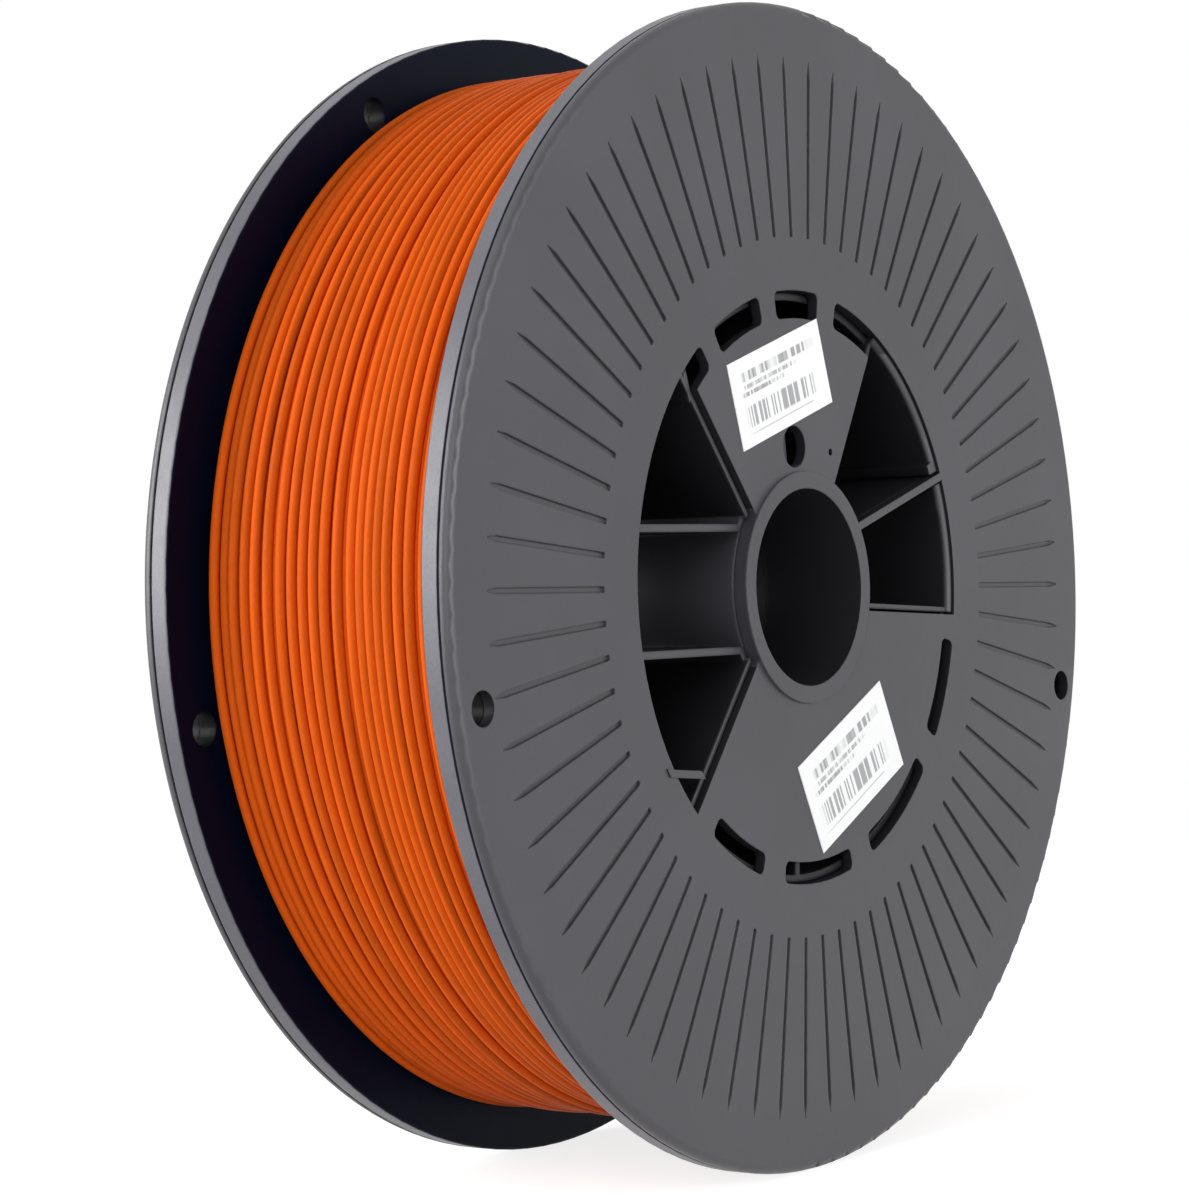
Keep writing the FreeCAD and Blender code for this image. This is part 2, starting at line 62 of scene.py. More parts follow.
class Op(Enum):
    """The Math operations that the finishes use by name."""

    ABSOLUTE = "ABSOLUTE"
    FLOOR = "FLOOR"
    GREATER = "GREATER_THAN"
    MAXIMUM = "MAXIMUM"


class Graph:
    """A material's or world's nodes, added by type."""

    def __init__(self, owner: bpy.types.ID) -> None:
        """Start an empty tree.

        Args:
            owner: the material or world whose nodes these are.
        """
        owner.use_nodes = True
        self.tree = owner.node_tree
        self.tree.nodes.clear()

    def node(self, kind: str, settings: Mapping[str, Any] | None = None,
             values: Mapping[str | int, Any] | None = None) -> bpy.types.Node:
        """Add a node.

        Args:
            kind: the node's type.
            settings: its properties, set before its sockets.
            values: its input sockets' values or signals, by name or number.

        Returns:
            The node.
        """
        made = self.tree.nodes.new(kind)
        for name, setting in (settings or {}).items():
            setattr(made, name, setting.value if isinstance(setting, Enum) else setting)
        for socket, value in (values or {}).items():
            if isinstance(value, Signal):
                self.tree.links.new(value.socket, made.inputs[socket])
            else:
                made.inputs[socket].default_value = value
        return made

    def signal(self, kind: str, output: str | int, settings: Mapping[str, Any] | None = None,
               values: Mapping[str | int, Any] | None = None) -> "Signal":
        """Add a node and take one of its outputs.

        Args:
            kind: the node's type.
            output: the output socket's name or number.
            settings: the node's properties.
            values: its input sockets' values or signals.

        Returns:
            The output as a signal.
        """
        return Signal(self, self.node(kind, settings, values).outputs[output])

    def blend(self, factor: "Signal | float", first: "Signal | Colour",
              second: "Signal | Colour") -> "Signal":
        """Mix two colours.

        Args:
            factor: 0 for the first colour, 1 for the second.
            first: a colour or a signal.
            second: a colour or a signal.

        Returns:
            The mixed colour.
        """
        def opaque(colour: "Signal | Colour") -> "Signal | tuple[float, ...]":
            """A plain colour with its alpha; a signal as it is."""
            return colour if isinstance(colour, Signal) else (*colour, 1.0)

        return self.signal("ShaderNodeMix", 2, {"data_type": "RGBA", "clamp_factor": True},
                           {0: factor, 6: opaque(first), 7: opaque(second)})

    def place(self) -> "Signal":
        """The point on the piece, in the row's frame, in metres."""
        return self.signal("ShaderNodeTexCoord", "Object")

    def stretched(self, factors: tuple[float, float, float]) -> "Signal":
        """The point on the piece with each of its coordinates times a factor."""
        return self.signal("ShaderNodeVectorMath", 0, {"operation": "MULTIPLY"},
                           {0: self.place(), 1: factors})

    def parts(self, vector: "Signal") -> tuple["Signal", "Signal", "Signal"]:
        """The three components of a vector signal."""
        split = self.node("ShaderNodeSeparateXYZ", None, {0: vector})
        return tuple(Signal(self, split.outputs[index]) for index in range(3))

    def noise(self, place: "Signal", scale: float, detail: float = 2.0,
              roughness: float = 0.5) -> "Signal":
        """A noise value about 0.5.

        Args:
            place: where it is read.
            scale: its cells per metre.
            detail: its octaves.
            roughness: how strong the finer octaves are.

        Returns:
            The noise.
        """
        return self.signal("ShaderNodeTexNoise", "Fac", None,
                           {"Vector": place, "Scale": scale, "Detail": detail, "Roughness": roughness})

    def close(self, shader: bpy.types.Node) -> None:
        """Send a shader to the output."""
        owner = "World" if shader.bl_idname == "ShaderNodeBackground" else "Material"
        output = self.tree.nodes.new("ShaderNodeOutput" + owner)
        self.tree.links.new(shader.outputs[0], output.inputs["Surface"])


@dataclass
class Signal:
    """A socket that takes part in arithmetic."""

    graph: Graph
    socket: bpy.types.NodeSocket

    def maths(self, operation: str, first: "Signal | float", second: "Signal | float") -> "Signal":
        """Add a Math node.

        Args:
            operation: the node's operation.
            first: its first value.
            second: its second value.

        Returns:
            The result.
        """
        return self.graph.signal("ShaderNodeMath", 0, {"operation": operation}, {0: first, 1: second})

    def __add__(self, other: "Signal | float") -> "Signal":
        """This plus the other."""
        return self.maths("ADD", self, other)

    __radd__ = __add__

    def __sub__(self, other: "Signal | float") -> "Signal":
        """This less the other."""
        return self.maths("SUBTRACT", self, other)

    def __rsub__(self, other: float) -> "Signal":
        """The other less this."""
        return self.maths("SUBTRACT", other, self)

    def __mul__(self, other: "Signal | float") -> "Signal":
        """This times the other."""
        return self.maths("MULTIPLY", self, other)

    __rmul__ = __mul__

    def __truediv__(self, other: "Signal | float") -> "Signal":
        """This divided by the other."""
        return self.maths("DIVIDE", self, other)

    def apply(self, operation: Op, other: "Signal | float" = 0.0) -> "Signal":
        """One of the named operations on this signal."""
        return self.maths(operation.value, self, other)

    def ramp(self, low: float, high: float, start: float = 0.0, end: float = 1.0) -> "Signal":
        """This signal mapped smoothly from one range to another.

        Args:
            low: where the result is start.
            high: where the result is end.
            start: the result at and below low.
            end: the result at and above high.

        Returns:
            The mapped signal.
        """
        return self.graph.signal("ShaderNodeMapRange", 0, {"interpolation_type": "SMOOTHSTEP"},
                                 {0: self, 1: low, 2: high, 3: start, 4: end})


def new_material(name: str) -> tuple[bpy.types.Material, Graph]:
    """A material and its empty tree."""
    material = bpy.data.materials.new(name)
    return material, Graph(material)


def add_object(name: str, data: bpy.types.ID) -> bpy.types.Object:
    """A new object of the scene that holds a mesh, a lamp or a camera."""
    made = bpy.data.objects.new(name, data)
    bpy.context.scene.collection.objects.link(made)
    return made


def applied(piece: bpy.types.Object) -> bpy.types.Mesh:
    """A new mesh: the piece's own with its modifiers applied."""
    return bpy.data.meshes.new_from_object(piece.evaluated_get(bpy.context.evaluated_depsgraph_get()))


def dress(piece: bpy.types.Object, material: bpy.types.Material) -> None:
    """Give a piece its only material."""
    piece.data.materials.clear()
    piece.data.materials.append(material)


def rework(mesh: bpy.types.Mesh, change: Callable[[bmesh.types.BMesh], Any]) -> None:
    """Change a mesh of the scene's own through bmesh.

    Args:
        mesh: the mesh.
        change: what is done to it.
    """
    shape = bmesh.new()
    shape.from_mesh(mesh)
    change(shape)
    shape.to_mesh(mesh)
    shape.free()


def new_piece(name: str, points: np.ndarray, faces: Sequence[Sequence[int]],
              material: bpy.types.Material) -> bpy.types.Object:
    """Make a smooth mesh piece that rides on the spool.

    Args:
        name: the piece's name.
        points: its vertices, in metres.
        faces: its faces, as vertex numbers.
        material: its finish.

    Returns:
        The piece.
    """
    mesh = bpy.data.meshes.new(name)
    mesh.from_pydata([tuple(point) for point in points], [], [list(face) for face in faces])
    mesh.validate()
    mesh.update()
    mesh.polygons.foreach_set("use_smooth", [True] * len(mesh.polygons))
    piece = add_object(name, mesh)
    dress(piece, material)
    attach(piece, ROOT)
    return piece


@dataclass(frozen=True)
class ShellFinish:
    """Dark grey moulded plastic with a fine satin grain and softly broken edges.

    Its faces across the spool's axis and its walls along it may differ. Walls within the hub and in
    the filament holes take painted shade: darker than the front edges and rims, with their reflection
    cut. The discs' faces towards the winding take painted shade, near black with little reflection,
    and so does the core where the covers close it.
    ring and hole_band are an inner and an outer radius. covered gives, for each closed sector,
    its direction in degrees and how far out it begins.
    """

    colour: Colour = (0.034, 0.0335, 0.041)
    worn_colour: Colour = (0.048, 0.047, 0.056)
    worn_share: float = 0.5
    grain_share: float = 0.3
    painted_wall_shade: float = 1.0
    painted_face_shade: Colour | None = None
    gloss: float = 0.5
    painted_shade_gloss: float = 0.06
    ring: tuple[float, float] = (18.6 * MM, 21.0 * MM)
    hub_reach: float = 57.0 * MM
    hole_band: tuple[float, float] = (90.3 * MM, 97.4 * MM)
    covered: tuple[tuple[float, float], ...] = ()
    covered_fade: float = 0.5 * MM
    facing_range: tuple[float, float] = (0.3, 0.8)
    roughness: float = 0.42
    cloud_per_metre: float = 28.0
    flow_per_metre: float = 260.0
    grain_per_metre: float = 2600.0
    grain_height: float = 0.04 * MM
    edge_radius: float = 0.5 * MM

    def build(self, name: str) -> bpy.types.Material:
        """The finish as a material.

        Args:
            name: the material's name.

        Returns:
            The material.
        """
        material, graph = new_material(name)
        place = graph.place()
        cloud = graph.noise(place, self.cloud_per_metre, 4.0)
        grain = graph.noise(place, self.grain_per_metre, 3.0, 0.6)
        flow = graph.noise(place, self.flow_per_metre, 3.0)
        worn = cloud.ramp(0.35, 0.7) * self.worn_share + grain.ramp(0.4, 0.75) * self.grain_share
        colour = graph.blend(worn, self.colour, self.worn_colour)
        normal = graph.signal("ShaderNodeTexCoord", "Normal")
        facing = graph.parts(normal)[1].apply(Op.ABSOLUTE).ramp(*self.facing_range)
        # Painted shade: walls within the hub and in the filament holes take a darker colour, as if in
        # shade.
        shaded_wall_colour = tuple(channel * self.painted_wall_shade for channel in self.colour)
        painted_shade = self.inside(graph) * (1.0 - facing)
        # Painted shade: the core is darkened where the covers close it, as if in their shadow.
        for degrees, distance in self.covered:
            x, _, z = graph.parts(place)
            outward = x * math.cos(math.radians(degrees)) + z * math.sin(math.radians(degrees))
            painted_shade = painted_shade.apply(Op.MAXIMUM, outward.ramp(distance, distance + self.covered_fade))
        colour = graph.blend(painted_shade, colour, shaded_wall_colour)
        # Painted shade: faces across the axis take a near-black colour and lose their reflection, as if in
        # shadow between the flanges.
        if self.painted_face_shade:
            colour = graph.blend(facing, colour, self.painted_face_shade)
            painted_shade = painted_shade.apply(Op.MAXIMUM, facing)
        rough = self.roughness + (flow - 0.5) * 0.10 + (grain - 0.5) * 0.12
        edges = graph.signal("ShaderNodeBevel", "Normal", {"samples": 4}, {"Radius": self.edge_radius})
        bump = graph.signal("ShaderNodeBump", "Normal", None,
                            {"Strength": 0.35, "Distance": self.grain_height, "Height": grain + flow * 0.4,
                             "Normal": edges})
        sockets = {"Base Color": colour, "Roughness": rough, "Normal": bump}
        # The second shader is part of the painted shade: where its mask lies, the reflection is cut along
        # with the colour.
        satin, flat = (graph.signal("ShaderNodeBsdfPrincipled", 0, None,
                                    {**sockets, "Specular IOR Level": gloss})
                       for gloss in (self.gloss, self.painted_shade_gloss))
        graph.close(graph.node("ShaderNodeMixShader", None, {0: painted_shade, 1: satin, 2: flat}))
        return material

    def inside(self, graph: Graph) -> Signal:
        """Where the painted shade goes: 1 in the hub, apart from the boss ring's side, and where the
        filament holes are, else 0.

        Args:
            graph: the material's nodes.

        Returns:
            The mask.
        """
        x, _, z = graph.parts(graph.place())
        square = x * x + z * z

        def beyond(radius: float) -> Signal:
            """1 outside a radius about the spool's axis, with a soft step of a hundredth of it."""
            return square.ramp(radius ** 2, (radius * 1.01) ** 2)

        in_ring, in_band = (beyond(near) * (1.0 - beyond(far)) for near, far in (self.ring, self.hole_band))
        in_hub = 1.0 - beyond(self.hub_reach)
        return in_hub * (1.0 - in_ring) + in_band


@dataclass(frozen=True)
class FilamentFinish:
    """Extruded orange plastic: smooth along the strand, faintly drawn and a little cloudy.

    streaks_per_metre differs by axis, so that each turn has a shade of its own.
    """

    colour: Colour = (0.62, 0.090, 0.005)
    deep_colour: Colour = (0.45, 0.072, 0.004)
    streak_share: float = 0.9
    skin_share: float = 0.2
    roughness: float = 0.5
    gloss: float = 0.05
    streaks_per_metre: tuple[float, float, float] = (9.0, 520.0, 9.0)
    skin_per_metre: float = 900.0
    skin_height: float = 0.05 * MM

    def build(self, name: str) -> bpy.types.Material:
        """The finish as a material.

        Args:
            name: the material's name.

        Returns:
            The material.
        """
        material, graph = new_material(name)
        streaks = graph.noise(graph.stretched(self.streaks_per_metre), 1.0, 3.0, 0.65)
        skin = graph.noise(graph.place(), self.skin_per_metre)
        deep = streaks.ramp(0.38, 0.66) * self.streak_share + skin.ramp(0.4, 0.8) * self.skin_share
        colour = graph.blend(deep, self.colour, self.deep_colour)
        rough = self.roughness + (skin - 0.5) * 0.16
        bump = graph.signal("ShaderNodeBump", "Normal", None,
                            {"Strength": 0.25, "Distance": self.skin_height, "Height": skin})
        graph.close(graph.node("ShaderNodeBsdfPrincipled", None,
                               {"Base Color": colour, "Roughness": rough, "Normal": bump,
                                "Specular IOR Level": self.gloss}))
        return material


@dataclass(frozen=True)
class Rule:
    """A broken rule: its bounds as shares of the label, its strength and its breaks' step."""

    low: float
    high: float
    start: float
    end: float
    strength: float
    step: float


@dataclass(frozen=True)
class PaperFinish:
    """White label paper, faintly fibrous, printed with plain rules and bars in grey."""

    colour: Colour = (0.85, 0.85, 0.85)
    shade: Colour = (0.78, 0.78, 0.79)
    ink: Colour = (0.10, 0.105, 0.12)
    roughness: float = 0.62
    fibres_per_metre: float = 3500.0
    fibre_height: float = 0.03 * MM
    bar_step: float = 0.42 * MM
    bar_strength: float = 0.68
    bare_share: float = 0.52
    rules: tuple[Rule, ...] = (
        Rule(0.72, 0.84, 0.07, 0.93, 0.7, 0.62 * MM),
        Rule(0.635, 0.69, 0.07, 0.72, 0.6, 0.45 * MM),
        Rule(0.555, 0.61, 0.07, 0.58, 0.72, 0.5 * MM),
        Rule(0.125, 0.14, 0.05, 0.9, 0.5, 9.0 * MM),
    )

    @staticmethod
    def band(value: Signal, low: float, high: float) -> Signal:
        """1 between two values, softly 0 outside them."""
        soft = (high - low) * 0.12
        return value.ramp(low, low + soft) * (1.0 - value.ramp(high - soft, high))

    @staticmethod
    def chance(graph: Graph, place: Signal, step: float, start: float) -> Signal:
        """A random level for each step along the label.

        Args:
            graph: the material's nodes.
            place: the place along the label, in metres.
            step: the length of a step.
            start: the number of the first step.

        Returns:
            The level, 0 to 1.
        """
        return graph.signal("ShaderNodeTexWhiteNoise", "Value", {"noise_dimensions": "1D"},
                            {"W": (place / step).apply(Op.FLOOR) + start})

    def print_on(self, graph: Graph, centre: Vector, degrees: float, length: float,
                 height: float) -> Signal:
        """Where the ink is: three broken rules, a row of bars and a thin rule under them.

        Args:
            graph: the material's nodes.
            centre: the middle of the label.
            degrees: how far the label is turned about the spool's axis.
            length: the label's length.
            height: the label's height.

        Returns:
            The ink's strength.
        """
        x, _, z = graph.parts(graph.place())
        turn = math.radians(degrees)
        along = (x - centre.x) * math.cos(turn) + (z - centre.z) * math.sin(turn)
        across = (z - centre.z) * math.cos(turn) - (x - centre.x) * math.sin(turn)
        share_along, share_up = along / length + 0.5, across / height + 0.5
        bars = self.chance(graph, along, self.bar_step, 0.5).apply(Op.GREATER, self.bare_share)
        row = self.band(share_up, 0.19, 0.46) * self.band(share_along, 0.07, 0.9)
        ink = bars * row * self.bar_strength
        for rule in self.rules:
            broken = self.chance(graph, along, rule.step, 7.5 * rule.low).ramp(0.2, 0.75, 0.1, 1.0)
            line = self.band(share_up, rule.low, rule.high) * self.band(share_along, rule.start, rule.end)
            ink = ink.apply(Op.MAXIMUM, line * broken * rule.strength)
        return ink

    def build(self, name: str, degrees: float, length: float, height: float) -> bpy.types.Material:
        """The finish of one label as a material.

        Args:
            name: the label's node.
            degrees: how far it is turned about the spool's axis.
            length: its length.
            height: its height.

        Returns:
            The material.
        """
        material, graph = new_material(name + "_paper")
        fibre = graph.noise(graph.place(), self.fibres_per_metre, 4.0, 0.7)
        low, high = (Vector(corner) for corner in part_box(name))
        ink = self.print_on(graph, (low + high) / 2, degrees, length, height)
        bare = graph.blend(fibre.ramp(0.35, 0.75), self.colour, self.shade)
        bump = graph.signal("ShaderNodeBump", "Normal", None,
                            {"Strength": 0.2, "Distance": self.fibre_height, "Height": fibre})
        graph.close(graph.node("ShaderNodeBsdfPrincipled", None,
                               {"Base Color": graph.blend(ink, bare, self.ink),
                                "Roughness": self.roughness, "Normal": bump}))
        return material


@dataclass
class Winding:
    """The filament on the drum: an uneven outer layer over an even one, over the wound body.

    steps are the steps of a turn. under_drop and body_drop are how much lower the under layer
    and the body lie, as shares of the wire.
    """

    wire: float = 1.75 * MM
    outer_radius: float = 92.5 * MM
    drum_radius: float = 51.0 * MM
    flange_gap: float = 0.12 * MM
    under_drop: float = 0.84
    body_drop: float = 0.42
    outer_turns: int = 22
    under_turns: int = 28
    steps: int = 240
    outer_sides: int = 12
    under_sides: int = 8
    body_steps: int = 180
    least_spacing: float = 1.765 * MM
    wander: float = 1.7 * MM
    deepest_sag: float = 0.8 * MM
    settling_rounds: int = 400
    start_degrees: float = -40.0
    seed: int = 7
    finish: FilamentFinish = field(default_factory=FilamentFinish)

    def half_width(self) -> float:
        """Half the width that the winding fills between the two flange discs."""
        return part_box("back_flange")[0][1] - self.flange_gap

    def build(self) -> list[bpy.types.Object]:
        """Make the winding and put it in the place of the two wound solids.

        Returns:
            The pieces.
        """
        material = self.finish.build("filament_plastic")
        outer_lay = self.outer_radius - self.wire / 2
        under_lay = outer_lay - self.wire * self.under_drop
        body_radius = under_lay - self.wire * self.body_drop
        uneven, even = self.uneven_lay(), self.even_lay()
        outer = self.strand("filament_outer_layer", outer_lay - self.sag(len(uneven)), uneven,
                            self.outer_sides, material)
        under = self.strand("filament_under_layer", np.full(len(even), under_lay), even,
                            self.under_sides, material)
        body = self.wound_body("filament_wound_body", body_radius, material)
        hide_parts("filament_outer_turns")
        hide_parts("winding_core")
        return [outer, under, body]

    def even_lay(self) -> np.ndarray:
        """Where the under layer lies along the axis, step by step, wound back to front."""
        reach = self.half_width() - self.wire / 2
        return np.linspace(reach, -reach, self.under_turns * self.steps + 1)

    def drift(self, count: int, levels: Callable[[int], np.ndarray]) -> np.ndarray:
        """An amount that changes from half turn to half turn of the outer layer.

        Args:
            count: the steps of the strand.
            levels: gives that many amounts, one for each half turn.

        Returns:
            The amount at each step.
        """
        halves = np.arange(0.0, self.outer_turns + 1.01, 0.5)
        return np.interp(np.arange(count) / self.steps, halves, levels(len(halves)))

    def uneven_lay(self) -> np.ndarray:
        """Where the outer layer lies along the axis, step by step.

        Each turn wanders by its own slowly changing amount, and neighbours that would run into
        each other are pushed apart, so that some lie in pairs and others leave a gap.

        Returns:
            One position along the axis for each step of the strand.
        """
        rng = np.random.default_rng(self.seed)
        reach = self.half_width() - self.wire / 2
        count = self.outer_turns * self.steps + 1
        wander = self.drift(count, lambda size: rng.normal(0.0, self.wander, size))
        lay = np.linspace(-reach, reach, count) + self.smoothed(wander, self.steps // 3)
        for _ in range(self.settling_rounds):
            short = self.least_spacing - (lay[self.steps:] - lay[:-self.steps])
            push = np.clip(short, 0.0, None) / 2
            lay[self.steps:] += push
            lay[:-self.steps] -= push
            lay = np.clip(lay, -reach, reach)
            lay = self.smoothed(lay, self.steps // 16)
        return lay

    def sag(self, count: int) -> np.ndarray:
        """How deep each step of the outer layer has sunk between the turns under it."""
        rng = np.random.default_rng(self.seed + 1)
        depth = self.drift(count, lambda size: rng.uniform(0.0, self.deepest_sag, size))
        return self.smoothed(depth, self.steps // 4)

    @staticmethod
    def smoothed(values: np.ndarray, width: int) -> np.ndarray:
        """A running mean with its ends held."""
        padded = np.pad(values, width, mode="edge")
        kernel = np.ones(2 * width + 1) / (2 * width + 1)
        return np.convolve(padded, kernel, mode="valid")

    def strand(self, name: str, lay: np.ndarray, along: np.ndarray, sides: int,
               material: bpy.types.Material) -> bpy.types.Object:
        """Sweep a round strand round the drum.

        Args:
            name: the piece's name.
            lay: its radius about the spool's axis, step by step.
            along: its place along the axis, step by step.
            sides: the sides of its section.
            material: its finish.

        Returns:
            The piece.
        """
        steps = self.steps
        angle = math.radians(self.start_degrees) + 2 * math.pi * np.arange(len(along)) / steps
        outward = np.stack([np.cos(angle), np.zeros_like(angle), np.sin(angle)], axis=1)
        centre = outward * lay[:, None]
        centre[:, 1] = along
        slope = np.gradient(along) * steps / (2 * math.pi * lay)
        tangent = np.stack([-np.sin(angle), slope, np.cos(angle)], axis=1)
        tangent /= np.linalg.norm(tangent, axis=1)[:, None]
        sideways = np.cross(tangent, outward)
        turn = 2 * math.pi * np.arange(sides) / sides
        ring = (np.cos(turn)[None, :, None] * outward[:, None, :]
                + np.sin(turn)[None, :, None] * sideways[:, None, :]) * (self.wire / 2)
        points = (centre[:, None, :] + ring).reshape(-1, 3)
        faces: list[list[int]] = []
        for step in range(len(along) - 1):
            near, far = step * sides, (step + 1) * sides
            for side in range(sides):
                after = (side + 1) % sides
                faces.append([near + side, far + side, far + after, near + after])
        faces.append(list(range(sides)))
        faces.append([len(points) - 1 - side for side in range(sides)])
        return new_piece(name, points, faces, material)

    def wound_body(self, name: str, radius: float, material: bpy.types.Material) -> bpy.types.Object:
        """The wound body under the two layers, a ring with chamfered edges.

        Args:
            name: the piece's name.
            radius: its outer radius.
            material: its finish.

        Returns:
            The piece.
        """
        reach, chamfer = self.half_width(), self.wire / 2
        profile = [(self.drum_radius, -reach), (radius - chamfer, -reach), (radius, -reach + chamfer),
                   (radius, reach - chamfer), (radius - chamfer, reach), (self.drum_radius, reach)]
        size, count = len(profile), self.body_steps
        points: list[tuple[float, float, float]] = []
        faces: list[list[int]] = []
        for step in range(count):
            angle = 2 * math.pi * step / count
            points += [(out * math.cos(angle), along, out * math.sin(angle)) for out, along in profile]
            near, far = step * size, (step + 1) % count * size
            for corner in range(size):
                after = (corner + 1) % size
                faces.append([near + corner, near + after, far + after, far + corner])
        return new_piece(name, np.array(points), faces, material)


@dataclass
class Grooves:
    """The ring of radial grooves in a cover's face, flat floored and running out to a point.

    Its sizes are in millimetres. face_level is how far the face lies from the spool's middle.
    """

    face_level: float = 31.0
    headroom: float = 0.5
    sharp_degrees: float = 28.0
    weld: float = 0.0001
    count: int = 70
    first_degrees: float = -0.56
    inner_radius: float = 60.1
    full_radius: float = 88.3
    outer_radius: float = 90.8
    half_width: float = 0.48
    depth: float = 0.55
    tip_depth: float = 0.15
    corner: float = 0.25

    def outline(self) -> list[tuple[float, float, float]]:
        """One groove's plan, as radius, place to the side and depth."""
        half = self.half_width
        one_side = [(self.inner_radius, half * 0.7, self.depth),
                    (self.inner_radius + self.corner, half, self.depth),
                    (self.full_radius, half, self.depth),
                    (self.outer_radius, half * 0.2, self.tip_depth)]
        other_side = [(radius, -aside, depth) for radius, aside, depth in reversed(one_side)]
        return one_side + other_side

    def cutter(self, face: float, inward: float) -> bpy.types.Object:
        """The solid that the grooves are cut with.

        Args:
            face: where the cover's face lies along the axis, in metres.
            inward: 1 or -1, the way into the cover along the axis.

        Returns:
            The cutting solid, a piece of scaffolding.
        """
        points: list[Vector] = []
        faces: list[list[int]] = []
        outline = self.outline()
        corners = len(outline)
        for number in range(self.count):
            turn = math.radians(self.first_degrees + 360.0 / self.count * number)
            ahead = Vector((math.cos(turn), 0.0, math.sin(turn)))
            aside = Vector((-math.sin(turn), 0.0, math.cos(turn)))
            base = len(points)
            floor = base + corners
            for at_floor in (False, True):
                for radius, sideways, depth in outline:
                    point = (ahead * radius + aside * sideways) * MM
                    point.y = face + inward * (depth if at_floor else -self.headroom) * MM
                    points.append(point)
            faces.append([base + corner for corner in range(corners)])
            # The floor rises towards the point, so it is two faces: the level part and the slope.
            faces.append([floor + corner for corner in (7, 6, 5, 2, 1, 0)])
            faces.append([floor + corner for corner in (5, 4, 3, 2)])
            for corner in range(corners):
                after = (corner + 1) % corners
                faces.append([base + corner, floor + corner, floor + after, base + after])
        mesh = bpy.data.meshes.new("groove_cutter")
        mesh.from_pydata(points, [], faces)
        rework(mesh, lambda shape: bmesh.ops.recalc_face_normals(shape, faces=shape.faces))
        return add_object("groove_cutter", mesh)

    def cut(self, name: str, node: str, front: bool, material: bpy.types.Material) -> bpy.types.Object:
        """Make a cover with its grooves, in the place of the plain one.

        Args:
            name: the piece's name.
            node: the plain cover's node.
            front: whether it is the front cover.
            material: its finish.

        Returns:
            The grooved cover.
        """
        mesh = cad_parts[node].data.copy()
        weld = self.weld * MM
        rework(mesh, lambda shape: bmesh.ops.remove_doubles(shape, verts=shape.verts, dist=weld))
        blank = add_object(name + "_blank", mesh)
        inward = 1.0 if front else -1.0
        cutter = self.cutter(-inward * self.face_level * MM, inward)
        carving = blank.modifiers.new("grooves", "BOOLEAN")
        carving.operation = "DIFFERENCE"
        carving.solver = "EXACT"
        carving.object = cutter
        carved = applied(blank)
        for scaffold in (blank, cutter):
            bpy.data.objects.remove(scaffold)
        for layer in ("custom_normal", "sharp_edge", "sharp_face"):
            if layer in carved.attributes:
                carved.attributes.remove(carved.attributes[layer])
        carved.polygons.foreach_set("use_smooth", [True] * len(carved.polygons))
        carved.set_sharp_from_angle(angle=math.radians(self.sharp_degrees))
        cover = add_object(name, carved)
        # The face stays flat in its shading although the grooves cut it into long strips.
        flats = cover.modifiers.new("flats", "WEIGHTED_NORMAL")
        flats.mode = "FACE_AREA"
        flats.weight = 100
        flats.keep_sharp = True
        cover.data = applied(cover)
        cover.data.name = name
        cover.modifiers.clear()
        dress(cover, material)
        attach(cover, ROOT)
        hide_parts(node)
        return cover


@dataclass
class Shell:
    """The two covers, the two flange discs and the hub core."""

    grooves: Grooves = field(default_factory=Grooves)
    cover_finish: ShellFinish = field(default_factory=lambda: ShellFinish(painted_wall_shade=0.5))
    # Painted light: the discs' colour is about three times the covers' though they are the same plastic, so
    # that their rims look lit; their faces towards the winding take painted shade, near black.
    disc_finish: ShellFinish = field(default_factory=lambda: ShellFinish(
        colour=(0.105, 0.104, 0.122), painted_wall_shade=0.05, painted_face_shade=(0.001, 0.003, 0.012)))
    # Painted shade on the core: its walls are darkened, and so is the part the covers close.
    core_finish: ShellFinish = field(default_factory=lambda: ShellFinish(
        painted_wall_shade=0.3, painted_shade_gloss=0.3, edge_radius=0.7 * MM, ring=(17.6 * MM, 21.0 * MM),
        covered=((95.0, 38.3 * MM), (290.0, 26.0 * MM))))

    def build(self) -> list[bpy.types.Object]:
        """Groove the covers and dress the other moulded pieces.

        Returns:
            The pieces.
        """
        plate = self.cover_finish.build("cover_plastic")
        pieces = [self.grooves.cut("front_cover_grooved", "front_cover", True, plate),
                  self.grooves.cut("back_cover_grooved", "back_cover", False, plate)]
        disc = self.disc_finish.build("disc_plastic")
        for name, material in (("front_flange", disc), ("back_flange", disc),
                               ("hub_core", self.core_finish.build("core_plastic"))):
            dress(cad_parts[name], material)
            pieces.append(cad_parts[name])
        return pieces


@dataclass
class Labels:
    """The two paper labels on the front cover: each node's turn in degrees, length and height."""

    sheets: tuple[tuple[str, float, float, float], ...] = (
        ("label_upper", 17.7, 30.0 * MM, 15.0 * MM), ("label_lower", 26.4, 31.0 * MM, 17.0 * MM))
    finish: PaperFinish = field(default_factory=PaperFinish)

    def build(self) -> list[bpy.types.Object]:
        """Dress the labels.

        Returns:
            The pieces.
        """
        for name, degrees, length, height in self.sheets:
            dress(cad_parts[name], self.finish.build(name, degrees, length, height))
        return [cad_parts[name] for name, *_ in self.sheets]


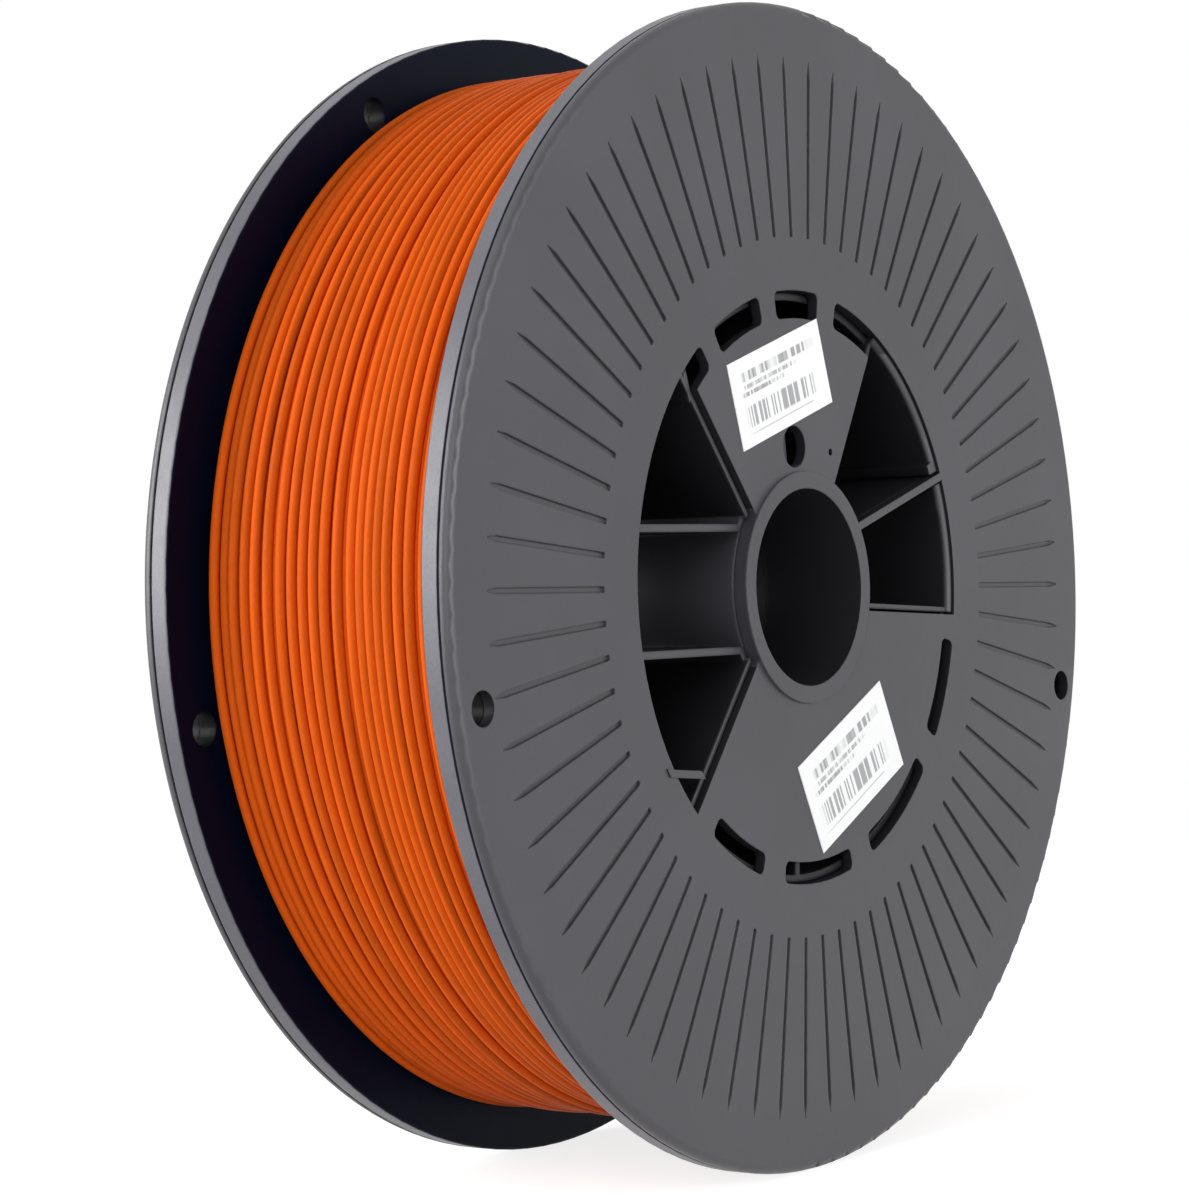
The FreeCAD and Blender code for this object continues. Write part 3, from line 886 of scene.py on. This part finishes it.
@dataclass(frozen=True)
class Viewpoint:
    """The photograph's camera: its place about the spool, its own turns and its focal length.

    The angles are in degrees. focal_pixels is the focal length in pixels of a picture of
    frame_height, whose longer side the sensor's width in millimetres stands for.
    """

    azimuth: float = -55.535
    elevation: float = 0.141
    distance: float = 609.2 * MM
    yaw: float = 1.068
    pitch: float = 0.125
    roll: float = -1.529
    focal_pixels: float = 3437.0
    frame_height: float = 1200.0
    sensor: float = 36.0
    clip: tuple[float, float] = (0.01, 50.0)

    @staticmethod
    def direction(azimuth: float, elevation: float) -> Vector:
        """The unit vector from the spool towards that azimuth and elevation, in degrees."""
        turn, rise = math.radians(azimuth), math.radians(elevation)
        return Vector((math.sin(turn) * math.cos(rise), -math.cos(turn) * math.cos(rise), math.sin(rise)))

    def build(self) -> bpy.types.Object:
        """Make the scene's camera.

        Returns:
            The camera.
        """
        data = bpy.data.cameras.new("camera")
        data.sensor_fit = "AUTO"
        data.sensor_width = self.sensor
        data.lens = self.focal_pixels * self.sensor / self.frame_height
        data.clip_start, data.clip_end = self.clip
        camera = add_object("camera", data)
        back = self.direction(self.azimuth + self.yaw, self.elevation + self.pitch)
        level = Vector((0, 0, 1)).cross(back).normalized()
        turn = math.radians(self.roll)
        right = level * math.cos(turn) + back.cross(level) * math.sin(turn)
        up = back.cross(right)
        eye = self.direction(self.azimuth, self.elevation) * self.distance
        camera.matrix_world = Matrix.Translation(eye) @ Matrix((right, up, back)).transposed().to_4x4()
        bpy.context.scene.camera = camera
        return camera


@dataclass(frozen=True)
class Lamp:
    """A soft box: its direction from the spool in degrees, distance, size and power in watts."""

    name: str
    azimuth: float
    elevation: float
    distance: float
    width: float
    height: float
    power: float

    def build(self) -> None:
        """Hang the lamp, facing the spool."""
        data = bpy.data.lights.new(self.name, "AREA")
        data.shape = "RECTANGLE"
        data.size = self.width
        data.size_y = self.height
        data.energy = self.power
        lamp = add_object(self.name, data)
        towards = Viewpoint.direction(self.azimuth, self.elevation)
        lamp.location = towards * self.distance
        lamp.rotation_euler = towards.to_track_quat("Z", "Y").to_euler()


@dataclass
class Studio:
    """A white floor and surroundings, with soft boxes.

    fade holds the squares of the distances between which the floor's shadow gives way to white.
    floor_glow and floor_paper make up the floor near the spool, as the camera sees it, and
    floor_bounce is its colour as a light on the spool.
    """

    floor_half: float = 20.0
    floor_glow: float = 0.8
    floor_paper: float = 0.42
    floor_bounce: float = 0.8
    fade: tuple[float, float] = (0.05, 0.8)
    ambient: float = 0.36
    lamps: tuple[Lamp, ...] = (
        Lamp("left_box", -68.0, 10.0, 1.8, 1.2, 1.4, 17.0),
        Lamp("rim_box", -136.0, 4.0, 1.6, 0.6, 1.6, 41.0),
        Lamp("front_box", 10.0, 8.0, 2.2, 0.9, 0.9, 28.0),
        Lamp("top_box", -95.0, 60.0, 1.8, 1.4, 1.4, 6.0),
    )

    def build(self) -> None:
        """Make the floor, the surroundings and the lamps."""
        self.floor()
        self.surroundings()
        for lamp in self.lamps:
            lamp.build()

    def floor(self) -> None:
        """A floor that the camera sees as white, apart from the spool's shadow."""
        material, graph = new_material("studio_floor")
        camera, glossy = self.rays(graph, "Camera", "Glossy")
        seen = camera.apply(Op.MAXIMUM, glossy)
        x, y, _ = graph.parts(graph.place())
        far = (x * x + y * y).ramp(*self.fade)
        glow, white = (graph.node("ShaderNodeEmission", None, {"Color": WHITE, "Strength": strength})
                       for strength in (self.floor_glow, 1.0))
        paper, plain = (graph.node("ShaderNodeBsdfDiffuse", None, {"Color": (grey, grey, grey, 1.0)})
                        for grey in (self.floor_paper, self.floor_bounce))
        near = graph.node("ShaderNodeAddShader")
        view = graph.node("ShaderNodeMixShader", None, {0: far})
        mixed = graph.node("ShaderNodeMixShader", None, {0: seen})
        for source, target, slot in ((glow, near, 0), (paper, near, 1), (near, view, 1), (white, view, 2),
                                     (plain, mixed, 1), (view, mixed, 2)):
            graph.tree.links.new(source.outputs[0], target.inputs[slot])
        graph.close(mixed)
        half, level = self.floor_half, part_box("front_flange")[0][2]
        corners = [(-half, -half, level), (half, -half, level), (half, half, level), (-half, half, level)]
        mesh = bpy.data.meshes.new("floor")
        mesh.from_pydata(corners, [], [(0, 1, 2, 3)])
        floor = add_object("floor", mesh)
        dress(floor, material)

    def surroundings(self) -> None:
        """A world that is white to the eye and in reflections, and dimmer as a light."""
        world = bpy.data.worlds.new("studio")
        bpy.context.scene.world = world
        graph = Graph(world)
        camera, glossy, clear = self.rays(graph, "Camera", "Glossy", "Transmission")
        seen = camera.apply(Op.MAXIMUM, glossy).apply(Op.MAXIMUM, clear)
        strength = seen * (1.0 - self.ambient) + self.ambient
        graph.close(graph.node("ShaderNodeBackground", None, {"Color": WHITE, "Strength": strength}))

    @staticmethod
    def rays(graph: Graph, *kinds: str) -> list[Signal]:
        """1 on rays of each of these kinds, else 0."""
        path = graph.node("ShaderNodeLightPath")
        return [Signal(graph, path.outputs["Is %s Ray" % kind]) for kind in kinds]


def main() -> None:
    """Build the pieces and the studio."""
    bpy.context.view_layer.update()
    for group in (Shell(), Labels(), Winding()):
        for piece in group.build():
            LOG.info("%s: %s", type(group).__name__, piece.name)
    Viewpoint().build()
    Studio().build()
    view = bpy.context.scene.view_settings
    view.view_transform = "Standard"


if __name__ == "__main__":
    logging.basicConfig(level=logging.INFO)
    main()
